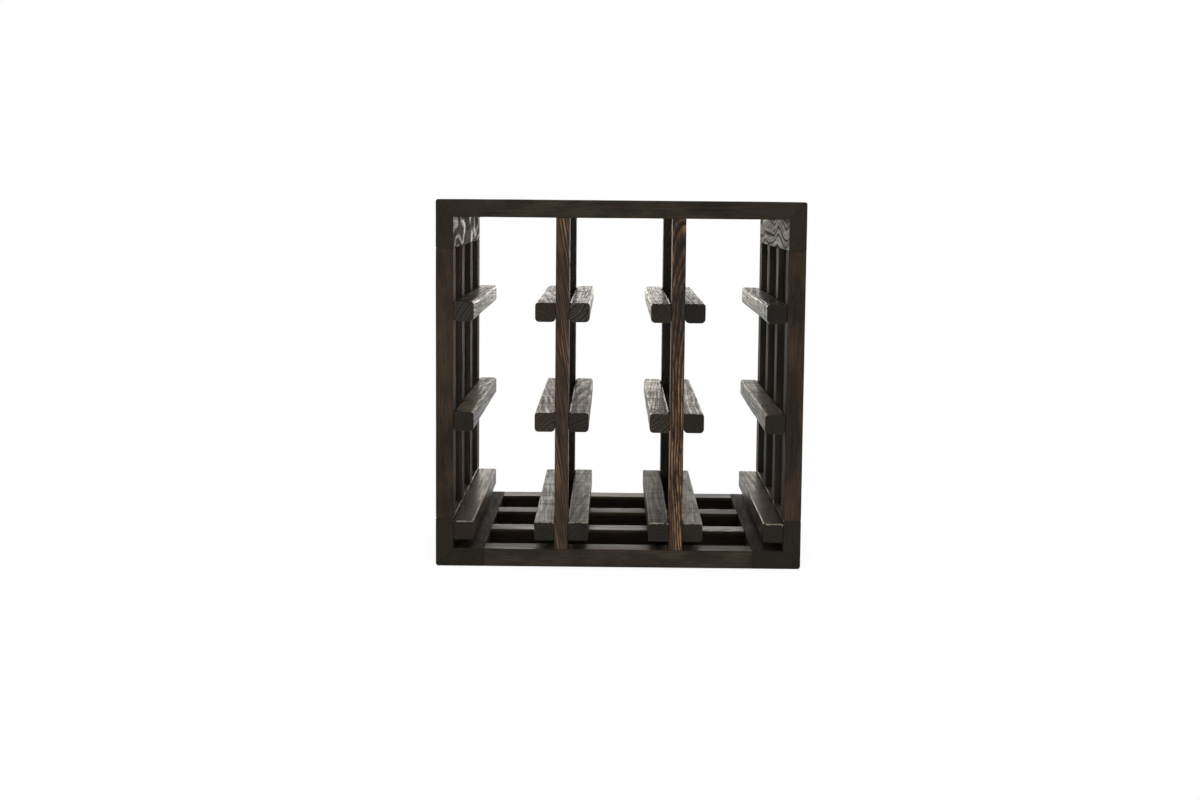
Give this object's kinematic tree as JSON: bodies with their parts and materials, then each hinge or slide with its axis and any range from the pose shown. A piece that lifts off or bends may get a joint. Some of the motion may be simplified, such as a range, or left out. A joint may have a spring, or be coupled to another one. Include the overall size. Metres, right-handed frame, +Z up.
{
  "type": "wine rack",
  "caption": "Cube-shaped wooden wine rack, open front and back, with slatted sides, divider posts and rounded rails that carry bottles lying down.",
  "frame": {"origin": "centre of the footprint, on the floor that the rack stands on", "axes": "+Z up, the front that bottles enter towards -Y, +X to the right seen from the front"},
  "size_m": [0.38, 0.38, 0.38],
  "materials": {
    "plank_wood": "dark stained, satin oil",
    "slat_wood": "dark stained, satin oil",
    "post_wood": "dark stained, satin oil",
    "rail_wood": "dark stained, satin oil",
    "dowel_wood": "bare, glued in"
  },
  "bodies": {
    "root": {"bottom_panel_left_plank": "plank_wood", "bottom_panel_right_plank": "plank_wood", "bottom_panel_slat_1": "slat_wood", "bottom_panel_slat_2": "slat_wood", "bottom_panel_slat_3": "slat_wood", "bottom_panel_slat_4": "slat_wood", "left_panel_upper_plank": "plank_wood", "left_panel_lower_plank": "plank_wood", "left_panel_slat_1": "slat_wood", "left_panel_slat_2": "slat_wood", "left_panel_slat_3": "slat_wood", "left_panel_slat_4": "slat_wood", "right_panel_lower_plank": "plank_wood", "right_panel_upper_plank": "plank_wood", "right_panel_slat_1": "slat_wood", "right_panel_slat_2": "slat_wood", "right_panel_slat_3": "slat_wood", "right_panel_slat_4": "slat_wood", "top_panel_right_plank": "plank_wood", "top_panel_left_plank": "plank_wood", "top_panel_slat_1": "slat_wood", "top_panel_slat_2": "slat_wood", "top_panel_slat_3": "slat_wood", "top_panel_slat_4": "slat_wood", "left_divider_front_post": "post_wood", "left_divider_front_dowel_low": "dowel_wood", "left_divider_front_dowel_middle": "dowel_wood", "left_divider_front_dowel_top": "dowel_wood", "left_divider_back_post": "post_wood", "left_divider_back_dowel_low": "dowel_wood", "left_divider_back_dowel_middle": "dowel_wood", "left_divider_back_dowel_top": "dowel_wood", "right_divider_front_post": "post_wood", "right_divider_front_dowel_low": "dowel_wood", "right_divider_front_dowel_middle": "dowel_wood", "right_divider_front_dowel_top": "dowel_wood", "right_divider_back_post": "post_wood", "right_divider_back_dowel_low": "dowel_wood", "right_divider_back_dowel_middle": "dowel_wood", "right_divider_back_dowel_top": "dowel_wood", "left_column_left_rail_low": "rail_wood", "left_column_left_rail_middle": "rail_wood", "left_column_left_rail_top": "rail_wood", "left_column_right_rail_low": "rail_wood", "left_column_right_rail_middle": "rail_wood", "left_column_right_rail_top": "rail_wood", "middle_column_left_rail_low": "rail_wood", "middle_column_left_rail_middle": "rail_wood", "middle_column_left_rail_top": "rail_wood", "middle_column_right_rail_low": "rail_wood", "middle_column_right_rail_middle": "rail_wood", "middle_column_right_rail_top": "rail_wood", "right_column_left_rail_low": "rail_wood", "right_column_left_rail_middle": "rail_wood", "right_column_left_rail_top": "rail_wood", "right_column_right_rail_low": "rail_wood", "right_column_right_rail_middle": "rail_wood", "right_column_right_rail_top": "rail_wood"}
  },
  "joints": []
}
